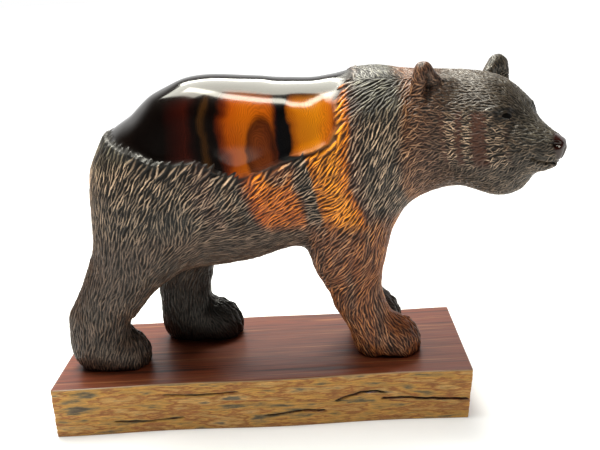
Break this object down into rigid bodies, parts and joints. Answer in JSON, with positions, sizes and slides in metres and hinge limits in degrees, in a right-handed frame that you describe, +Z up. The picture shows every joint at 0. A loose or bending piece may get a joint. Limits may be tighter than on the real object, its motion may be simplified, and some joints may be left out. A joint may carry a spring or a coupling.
{
  "type": "carved bear statue",
  "caption": "Walking bear carved in dark ironwood with its head turned to one side, standing on a rectangular block of the same wood, with a polished back and carved fur.",
  "frame": {"origin": "centre of the plinth's underside, which is the face the object stands on", "axes": "+X along the plinth towards the bear's nose, +Y towards the bear's left side, +Z up"},
  "size_m": [0.3087, 0.0942, 0.2168],
  "materials": {
    "carved_ironwood": "polished over the back, waxed fur elsewhere",
    "sawn_ironwood": "satin top, rough sawn sides"
  },
  "bodies": {
    "root": {"bear": "carved_ironwood", "plinth": "sawn_ironwood"}
  },
  "joints": []
}
